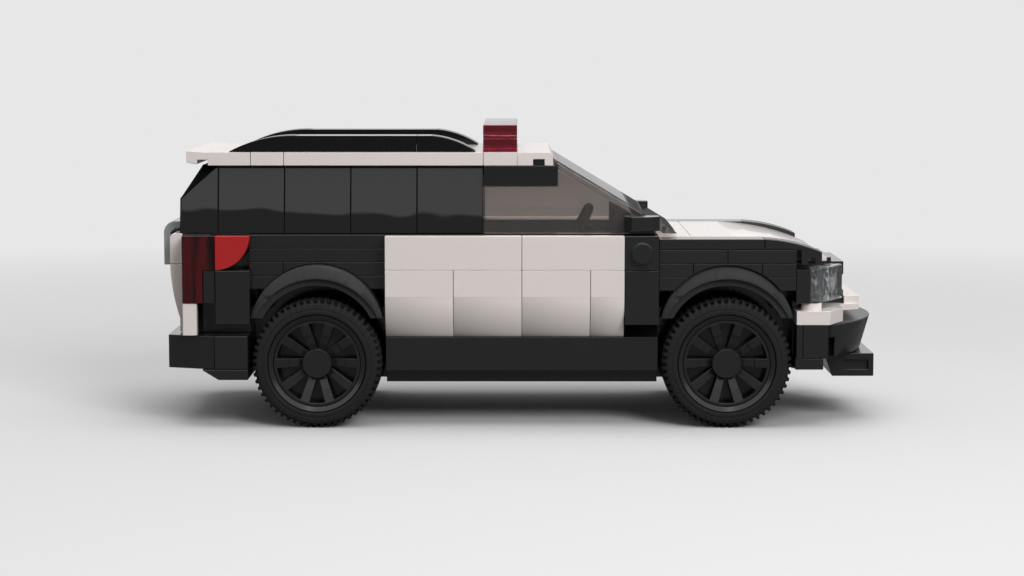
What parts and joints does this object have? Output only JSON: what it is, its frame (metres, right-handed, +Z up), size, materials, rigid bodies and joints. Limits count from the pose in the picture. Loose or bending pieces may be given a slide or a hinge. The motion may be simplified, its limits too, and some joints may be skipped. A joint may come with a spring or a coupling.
{
  "type": "toy police suv built from studded bricks",
  "caption": "Toy police car in the shape of a sport utility vehicle, built from studded plastic bricks, rolling on free-turning wheels with rubber tyres.",
  "frame": {"origin": "on the ground under the middle of the car", "axes": "+X forward along the car, +Y to its left, +Z up"},
  "size_m": [0.1709, 0.0674, 0.0707],
  "materials": {
    "white_plastic": "glossy moulded white plastic",
    "black_plastic": "glossy moulded black plastic",
    "arch_plastic": "glossy moulded black plastic",
    "window_black": "polished black plastic panels",
    "rail_black": "polished black plastic",
    "grey_plastic": "glossy light grey plastic",
    "red_plastic": "glossy red plastic",
    "clear_red": "transparent red plastic",
    "clear_blue": "transparent blue plastic",
    "clear_dark_red": "dark transparent red plastic",
    "clear_plastic": "clear plastic",
    "smoked_clear": "smoked transparent plastic",
    "rim_plastic": "satin black plastic",
    "tyre_rubber": "dull black rubber"
  },
  "bodies": {
    "chassis": {"floor_plates": "black_plastic", "front_axle_holder": "black_plastic", "rear_axle_holder": "black_plastic", "sill_tiles": "black_plastic", "cabin_walls": "black_plastic", "door_brackets": "black_plastic", "upper_door_tiles": "white_plastic", "lower_door_panels": "white_plastic", "front_pillars": "black_plastic", "front_fender_plates": "black_plastic", "front_fender_slopes": "black_plastic", "rear_fender_plates": "black_plastic", "front_arches": "arch_plastic", "rear_arches": "arch_plastic", "side_windows": "window_black", "rear_corner_panels": "window_black", "rear_glass": "window_black", "roof_tiles": "white_plastic", "spoiler": "white_plastic", "roof_rails": "rail_black", "light_bar_red": "clear_red", "light_bar_blue": "clear_blue", "windscreen": "smoked_clear", "roof_header": "black_plastic", "mirrors": "black_plastic", "nose_core": "black_plastic", "cowl": "white_plastic", "hood": "white_plastic", "headlight_bodies": "black_plastic", "headlamps": "clear_plastic", "grille": "black_plastic", "bumper_plate": "white_plastic", "front_corners": "black_plastic", "front_bumper": "black_plastic", "front_lip": "black_plastic", "tail_core": "black_plastic", "red_quarters": "red_plastic", "rear_quarters": "black_plastic", "tail_lamps": "clear_dark_red", "tail_trims": "white_plastic", "tailgate": "white_plastic", "tailgate_handle": "grey_plastic", "rear_bumper": "black_plastic", "rear_underplate": "black_plastic", "cabin_floor": "black_plastic", "seats": "black_plastic", "dashboard": "black_plastic", "steering_wheel": "black_plastic"},
    "front_left_wheel": {"tyre_front_left": "tyre_rubber", "rim_front_left": "rim_plastic", "cover_front_left": "rim_plastic"},
    "front_right_wheel": {"tyre_front_right": "tyre_rubber", "rim_front_right": "rim_plastic", "cover_front_right": "rim_plastic"},
    "rear_left_wheel": {"tyre_rear_left": "tyre_rubber", "rim_rear_left": "rim_plastic", "cover_rear_left": "rim_plastic"},
    "rear_right_wheel": {"tyre_rear_right": "tyre_rubber", "rim_rear_right": "rim_plastic", "cover_rear_right": "rim_plastic"}
  },
  "joints": [
    {"name": "front_left_roll", "type": "hinge", "parent": "chassis", "child": "front_left_wheel", "pos_m": [0.048, 0.025, 0.0152], "axis": [0, 1, 0], "continuous": true},
    {"name": "front_right_roll", "type": "hinge", "parent": "chassis", "child": "front_right_wheel", "pos_m": [0.048, -0.025, 0.0152], "axis": [0, 1, 0], "continuous": true},
    {"name": "rear_left_roll", "type": "hinge", "parent": "chassis", "child": "rear_left_wheel", "pos_m": [-0.048, 0.025, 0.0152], "axis": [0, 1, 0], "continuous": true},
    {"name": "rear_right_roll", "type": "hinge", "parent": "chassis", "child": "rear_right_wheel", "pos_m": [-0.048, -0.025, 0.0152], "axis": [0, 1, 0], "continuous": true}
  ]
}
